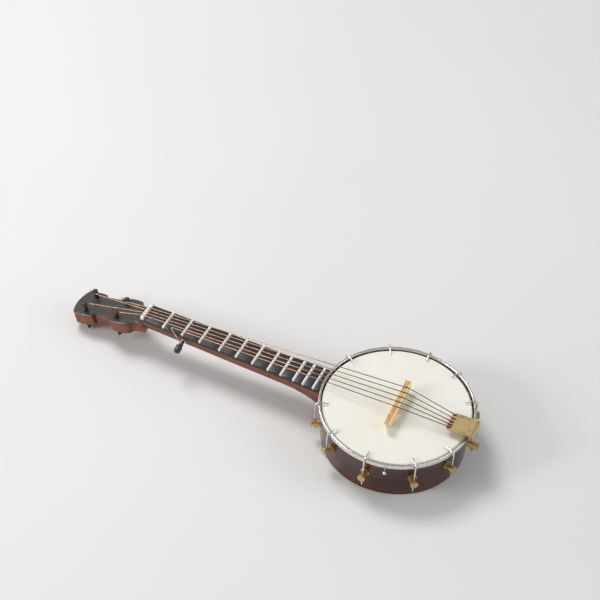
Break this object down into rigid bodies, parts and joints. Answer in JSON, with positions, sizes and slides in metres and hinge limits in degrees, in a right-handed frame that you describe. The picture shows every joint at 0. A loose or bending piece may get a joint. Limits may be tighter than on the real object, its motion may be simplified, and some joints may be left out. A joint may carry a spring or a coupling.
{
  "type": "banjo",
  "caption": "Miniature open-back banjo: skin head on a wooden pot with hooks and brackets, fretted neck, friction pegs, strings, bridge and tailpiece.",
  "frame": {"origin": "on the table plane, under the middle of the bounding box of the instrument lying face up", "axes": "+X along the strings from the headstock to the tailpiece, +Y away from the side with the fifth-string peg, +Z out of the head"},
  "size_m": [0.2472, 0.0916, 0.0333],
  "materials": {
    "mahogany": "gloss varnish",
    "ebony": "satin",
    "dowel_wood": "satin",
    "maple": "satin varnish",
    "head_skin": "matte",
    "bone": "polished",
    "nickel": "polished",
    "brass": "satin",
    "dark_iron": "dull, dark",
    "string_wire": "bright"
  },
  "bodies": {
    "instrument": {"rim": "mahogany", "neck": "mahogany", "dowel_stick": "dowel_wood", "fingerboard": "ebony", "headstock_veneer": "ebony", "head": "head_skin", "flesh_hoop": "dark_iron", "tension_hoop": "nickel", "tension_hooks": "nickel", "hook_nuts": "nickel", "bracket_barrels": "brass", "bracket_screws": "brass", "tailpiece": "brass", "tail_bracket": "brass", "tail_nut": "brass", "end_stud": "brass", "frets": "nickel", "nut": "bone", "bridge": "maple", "fifth_pip": "nickel", "fifth_ferrule": "nickel", "rim_pin": "nickel", "string_1": "string_wire", "string_2": "string_wire", "string_3": "string_wire", "string_4": "string_wire", "string_5": "string_wire"},
    "tuner_1": {"tuning_peg_1": "ebony", "string_winding_1": "string_wire"},
    "tuner_2": {"tuning_peg_2": "ebony", "string_winding_2": "string_wire"},
    "tuner_3": {"tuning_peg_3": "ebony", "string_winding_3": "string_wire"},
    "tuner_4": {"tuning_peg_4": "ebony", "string_winding_4": "string_wire"},
    "fifth_tuner": {"fifth_peg": "ebony", "fifth_winding": "string_wire"}
  },
  "joints": [
    {"name": "tuner_1_turn", "type": "hinge", "parent": "instrument", "child": "tuner_1", "pos_m": [-0.11478, 0.0059, 0.01292], "axis": [-0.2164, 0, 0.9763], "continuous": true},
    {"name": "tuner_2_turn", "type": "hinge", "parent": "instrument", "child": "tuner_2", "pos_m": [-0.09457, 0.0062, 0.0174], "axis": [-0.2164, 0, 0.9763], "continuous": true},
    {"name": "tuner_3_turn", "type": "hinge", "parent": "instrument", "child": "tuner_3", "pos_m": [-0.11478, -0.0059, 0.01292], "axis": [-0.2164, 0, 0.9763], "continuous": true},
    {"name": "tuner_4_turn", "type": "hinge", "parent": "instrument", "child": "tuner_4", "pos_m": [-0.09457, -0.0062, 0.0174], "axis": [-0.2164, 0, 0.9763], "continuous": true},
    {"name": "fifth_tuner_turn", "type": "hinge", "parent": "instrument", "child": "fifth_tuner", "pos_m": [-0.05124, -0.00673, 0.02], "axis": [0, -0.9945, -0.1045], "continuous": true}
  ]
}
